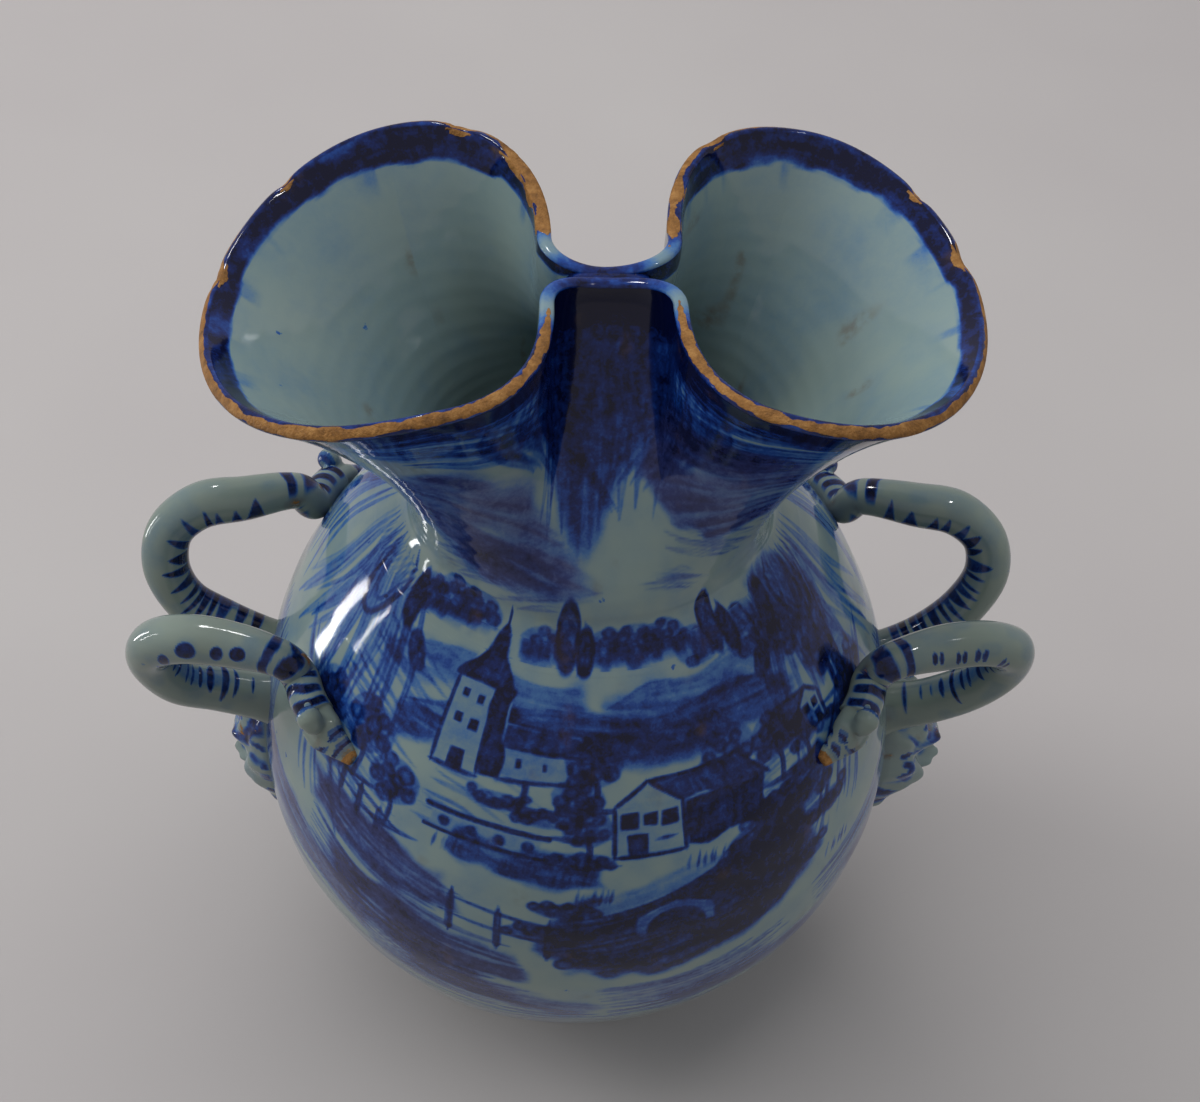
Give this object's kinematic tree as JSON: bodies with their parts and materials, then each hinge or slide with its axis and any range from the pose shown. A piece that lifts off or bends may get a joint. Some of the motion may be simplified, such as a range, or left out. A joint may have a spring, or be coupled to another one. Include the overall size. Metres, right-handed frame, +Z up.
{
  "type": "double-mouthed flower vase",
  "caption": "Globular tin-glazed planter vase on a foot ring, its flared neck pinched into twin mouths, with coiled serpent handles over moulded masks on its sides.",
  "frame": {"origin": "middle of the foot ring's resting face, on the globe's axis", "axes": "+Z up along the globe's axis, -Y the front of the painted scene, +X the right mouth, as the front is seen"},
  "size_m": [0.2741, 0.2, 0.2884],
  "materials": {
    "painted_glaze": "gloss",
    "coil_glaze": "gloss",
    "mask_glaze": "gloss",
    "foot_glaze": "satin"
  },
  "bodies": {
    "root": {"foot_ring": "foot_glaze", "globe": "painted_glaze", "double_mouth_neck": "painted_glaze", "handle_left_front": "coil_glaze", "handle_left_back": "coil_glaze", "handle_right_front": "coil_glaze", "handle_right_back": "coil_glaze", "serpent_head_left_front": "coil_glaze", "serpent_head_left_back": "coil_glaze", "serpent_head_right_front": "coil_glaze", "serpent_head_right_back": "coil_glaze", "mask_left": "mask_glaze", "mask_right": "mask_glaze"}
  },
  "joints": []
}
